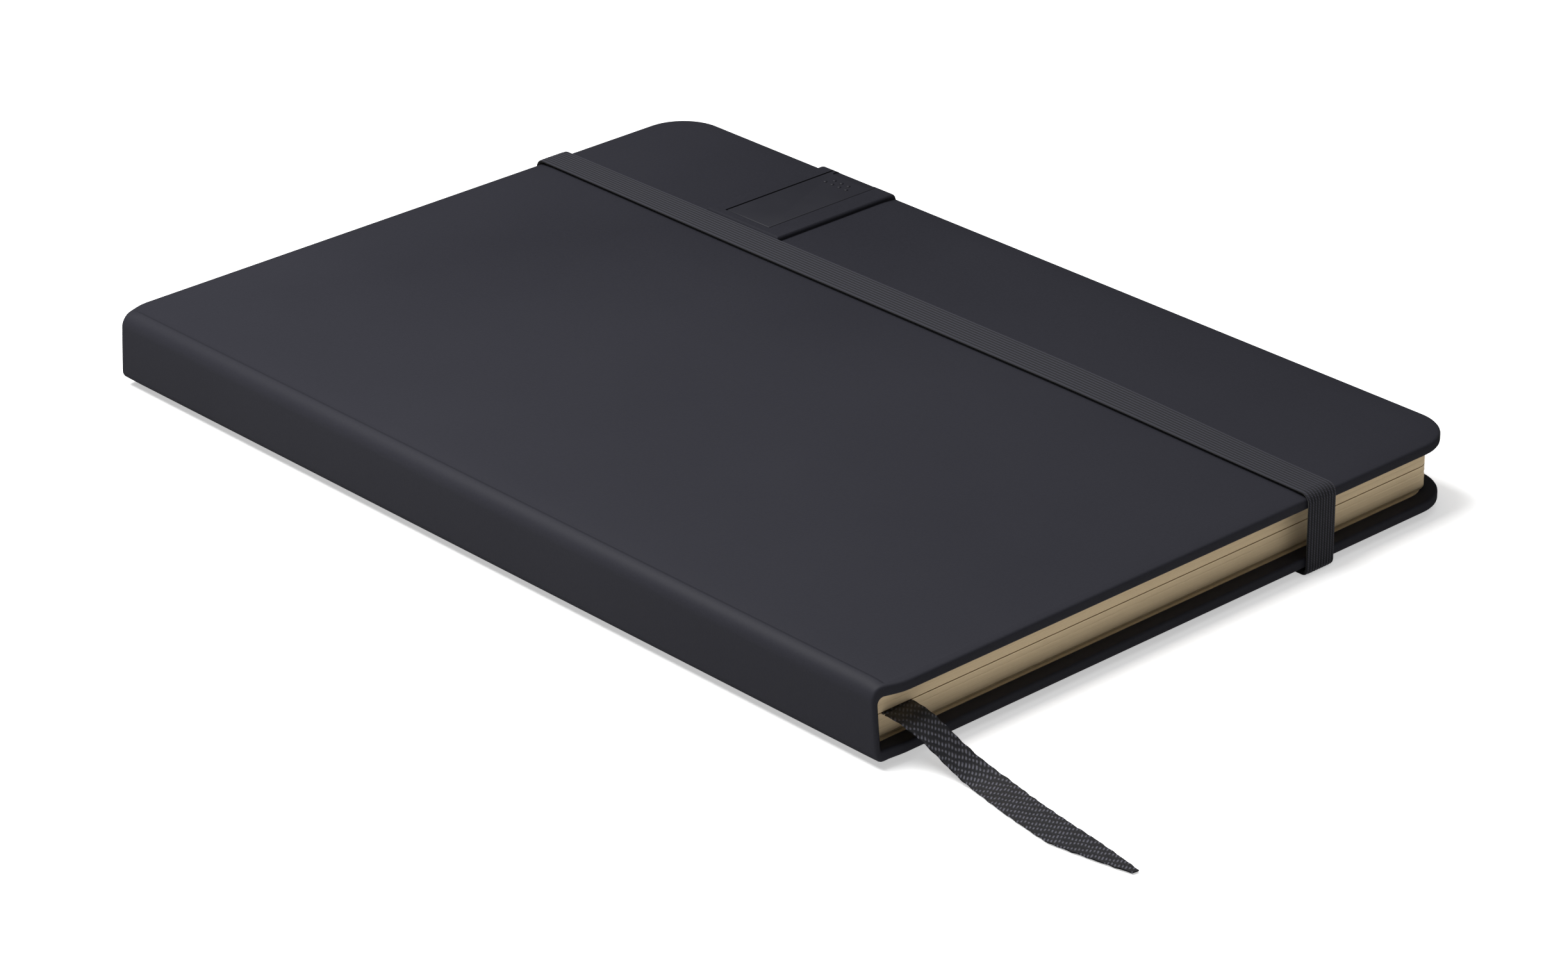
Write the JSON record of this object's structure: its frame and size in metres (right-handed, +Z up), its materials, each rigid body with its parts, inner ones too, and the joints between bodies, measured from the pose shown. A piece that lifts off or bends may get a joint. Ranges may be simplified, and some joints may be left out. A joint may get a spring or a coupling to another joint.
{
  "type": "elastic-closure notebook",
  "caption": "Hard-cover A5 writing and sketching book with an elastic band closure, a ribbon marker and a slide-out memory stick docked in the front cover.",
  "frame": {"origin": "under the middle of the closed book, at the underside of the closure band's runs on the back cover, where the book meets what it lies on", "axes": "+X from the spine to the fore edge, +Y from tail to head, +Z up through the front cover"},
  "size_m": [0.145, 0.2628, 0.0166],
  "materials": {
    "covering": "matt soft-touch polyurethane, very fine grain",
    "grey_board": "raw grey board",
    "ivory_paper": "uncoated ivory paper, cut edges",
    "endpaper": "uncoated ivory endpaper",
    "lining": "gauze and paper with glue",
    "elastic": "matt woven elastic, lengthwise ribs",
    "ribbon": "twill-woven satin ribbon",
    "stick_shell": "satin moulded plastic",
    "tray_plastic": "moulded plastic",
    "circuit": "solder mask on laminate",
    "chip": "moulded resin",
    "contact": "gold plate"
  },
  "bodies": {
    "back_cover": {"back_cover_skin": "covering", "back_board": "grey_board", "back_pastedown": "endpaper", "back_flyleaf": "endpaper", "section_1": "ivory_paper", "section_2": "ivory_paper", "section_3": "ivory_paper", "spine_lining_lower": "lining", "ribbon_inner": "ribbon", "ribbon_tail": "ribbon", "strap_head_side": "elastic", "strap_tail_side": "elastic", "strap_head_anchor": "elastic", "strap_tail_anchor": "elastic"},
    "spine": {"spine_skin": "covering", "spine_board": "grey_board"},
    "front_cover": {"front_cover_skin": "covering", "front_board": "grey_board", "front_pastedown": "endpaper", "dock_frame": "covering", "dock_tray": "tray_plastic"},
    "opened_leaves": {"section_4": "ivory_paper", "section_5": "ivory_paper", "section_6": "ivory_paper", "front_flyleaf": "endpaper", "spine_lining_upper": "lining"},
    "strap": {"strap_front": "elastic"},
    "memory_stick": {"stick_upper_shell": "stick_shell", "stick_lower_shell": "stick_shell", "stick_circuit_board": "circuit", "stick_controller_chip": "chip", "stick_memory_chip": "chip", "stick_contact_1": "contact", "stick_contact_2": "contact", "stick_contact_3": "contact", "stick_contact_4": "contact"}
  },
  "joints": [
    {"name": "spine_fold", "type": "hinge", "parent": "back_cover", "child": "spine", "pos_m": [-0.07191, 0, 0.00179], "axis": [0, -1, 0], "range_deg": [0, 90]},
    {"name": "cover_fold", "type": "hinge", "parent": "spine", "child": "front_cover", "pos_m": [-0.07162, 0, 0.01452], "axis": [0, -1, 0], "range_deg": [0, 90]},
    {"name": "leaves_turn", "type": "hinge", "parent": "back_cover", "child": "opened_leaves", "pos_m": [-0.07125, 0, 0.0083], "axis": [0, -1, 0], "range_deg": [0, 180]},
    {"name": "strap_round", "type": "hinge", "parent": "back_cover", "child": "strap", "pos_m": [0.0356, 0, 0.0083], "axis": [0, 1, 0], "range_deg": [0, 180], "deforming": ["strap_front", "strap_head_side", "strap_tail_side"]},
    {"name": "stick_slide", "type": "slide", "parent": "front_cover", "child": "memory_stick", "axis": [1, 0, 0], "range_m": [0, 0.034]}
  ],
  "couplings": [
    {"joint": "spine_fold", "follows": "cover_fold", "ratio": 1},
    {"joint": "leaves_turn", "follows": "cover_fold", "ratio": 2},
    {"joint": "strap_round", "follows": "cover_fold", "ratio": 2}
  ]
}
